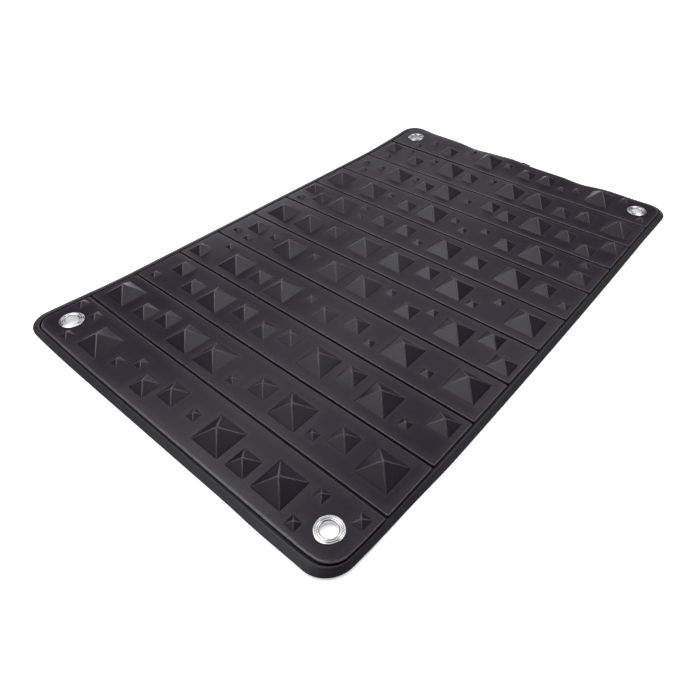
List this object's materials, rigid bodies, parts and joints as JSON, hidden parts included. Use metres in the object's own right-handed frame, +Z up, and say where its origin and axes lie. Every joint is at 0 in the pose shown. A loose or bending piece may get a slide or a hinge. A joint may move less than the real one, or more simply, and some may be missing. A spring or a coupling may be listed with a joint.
{
  "type": "seedling heat mat",
  "caption": "Flexible black rubber heat mat of studded panels on a thin rimmed sheet, with a metal eyelet in each corner; lies flat and curls up along its grooves.",
  "frame": {"origin": "centre of the mat's underside, on the surface it lies on", "axes": "+X along the panels and grooves, +Y across them along the mat's length, +Z up"},
  "size_m": [0.5, 0.8, 0.0218],
  "materials": {
    "sheet_rubber": "matte, lightly textured black rubber",
    "pad_rubber": "satin charcoal moulded rubber with a fine grain",
    "foil": "dull rolled foil",
    "cable_jacket": "satin silicone rubber jacket",
    "bright_metal": "bright nickel plate",
    "washer_metal": "nickel plate, lightly brushed",
    "bush_plastic": "matte black moulding",
    "block_plastic": "matte ivory moulding"
  },
  "bodies": {
    "band_01": {"base_panel_01": "sheet_rubber", "pad_01": "pad_rubber", "spreader_foil_01": "foil", "heater_run_01": "cable_jacket", "eyelet_near_left": "bright_metal", "washer_near_left": "washer_metal", "eyelet_near_right": "bright_metal", "washer_near_right": "washer_metal"},
    "band_02": {"base_panel_02": "sheet_rubber", "pad_02": "pad_rubber", "spreader_foil_02": "foil", "heater_run_02": "cable_jacket"},
    "band_03": {"base_panel_03": "sheet_rubber", "pad_03": "pad_rubber", "spreader_foil_03": "foil", "heater_run_03": "cable_jacket"},
    "band_04": {"base_panel_04": "sheet_rubber", "pad_04": "pad_rubber", "spreader_foil_04": "foil", "heater_run_04": "cable_jacket"},
    "band_05": {"base_panel_05": "sheet_rubber", "pad_05": "pad_rubber", "spreader_foil_05": "foil", "heater_run_05": "cable_jacket"},
    "band_06": {"base_panel_06": "sheet_rubber", "pad_06": "pad_rubber", "spreader_foil_06": "foil", "heater_run_06": "cable_jacket"},
    "band_07": {"base_panel_07": "sheet_rubber", "pad_07": "pad_rubber", "spreader_foil_07": "foil", "heater_run_07": "cable_jacket"},
    "band_08": {"base_panel_08": "sheet_rubber", "pad_08": "pad_rubber", "spreader_foil_08": "foil", "heater_run_08": "cable_jacket"},
    "band_09": {"base_panel_09": "sheet_rubber", "pad_09": "pad_rubber", "spreader_foil_09": "foil", "heater_run_09": "cable_jacket"},
    "band_10": {"base_panel_10": "sheet_rubber", "pad_10": "pad_rubber", "spreader_foil_10": "foil", "heater_run_10": "cable_jacket"},
    "band_11": {"base_panel_11": "sheet_rubber", "pad_11": "pad_rubber", "spreader_foil_11": "foil", "heater_run_11": "cable_jacket", "eyelet_far_left": "bright_metal", "washer_far_left": "washer_metal", "eyelet_far_right": "bright_metal", "washer_far_right": "washer_metal", "lead_inlet": "bush_plastic", "splice_block": "block_plastic", "thermal_limiter": "block_plastic"}
  },
  "joints": [
    {"name": "fold_05_06", "type": "hinge", "parent": "band_06", "child": "band_05", "pos_m": [0, -0.0355, 0.0012], "axis": [-1, 0, 0], "range_deg": [0, 30], "stiffness_Nm_per_rad": 0.5},
    {"name": "fold_04_05", "type": "hinge", "parent": "band_05", "child": "band_04", "pos_m": [0, -0.1065, 0.0012], "axis": [-1, 0, 0], "range_deg": [0, 30], "stiffness_Nm_per_rad": 0.5},
    {"name": "fold_03_04", "type": "hinge", "parent": "band_04", "child": "band_03", "pos_m": [0, -0.1775, 0.0012], "axis": [-1, 0, 0], "range_deg": [0, 30], "stiffness_Nm_per_rad": 0.5},
    {"name": "fold_02_03", "type": "hinge", "parent": "band_03", "child": "band_02", "pos_m": [0, -0.2485, 0.0012], "axis": [-1, 0, 0], "range_deg": [0, 30], "stiffness_Nm_per_rad": 0.5},
    {"name": "fold_01_02", "type": "hinge", "parent": "band_02", "child": "band_01", "pos_m": [0, -0.3195, 0.0012], "axis": [-1, 0, 0], "range_deg": [0, 30], "stiffness_Nm_per_rad": 0.5},
    {"name": "fold_06_07", "type": "hinge", "parent": "band_06", "child": "band_07", "pos_m": [0, 0.0355, 0.0012], "axis": [1, 0, 0], "range_deg": [0, 30], "stiffness_Nm_per_rad": 0.5},
    {"name": "fold_07_08", "type": "hinge", "parent": "band_07", "child": "band_08", "pos_m": [0, 0.1065, 0.0012], "axis": [1, 0, 0], "range_deg": [0, 30], "stiffness_Nm_per_rad": 0.5},
    {"name": "fold_08_09", "type": "hinge", "parent": "band_08", "child": "band_09", "pos_m": [0, 0.1775, 0.0012], "axis": [1, 0, 0], "range_deg": [0, 30], "stiffness_Nm_per_rad": 0.5},
    {"name": "fold_09_10", "type": "hinge", "parent": "band_09", "child": "band_10", "pos_m": [0, 0.2485, 0.0012], "axis": [1, 0, 0], "range_deg": [0, 30], "stiffness_Nm_per_rad": 0.5},
    {"name": "fold_10_11", "type": "hinge", "parent": "band_10", "child": "band_11", "pos_m": [0, 0.3195, 0.0012], "axis": [1, 0, 0], "range_deg": [0, 30], "stiffness_Nm_per_rad": 0.5}
  ]
}
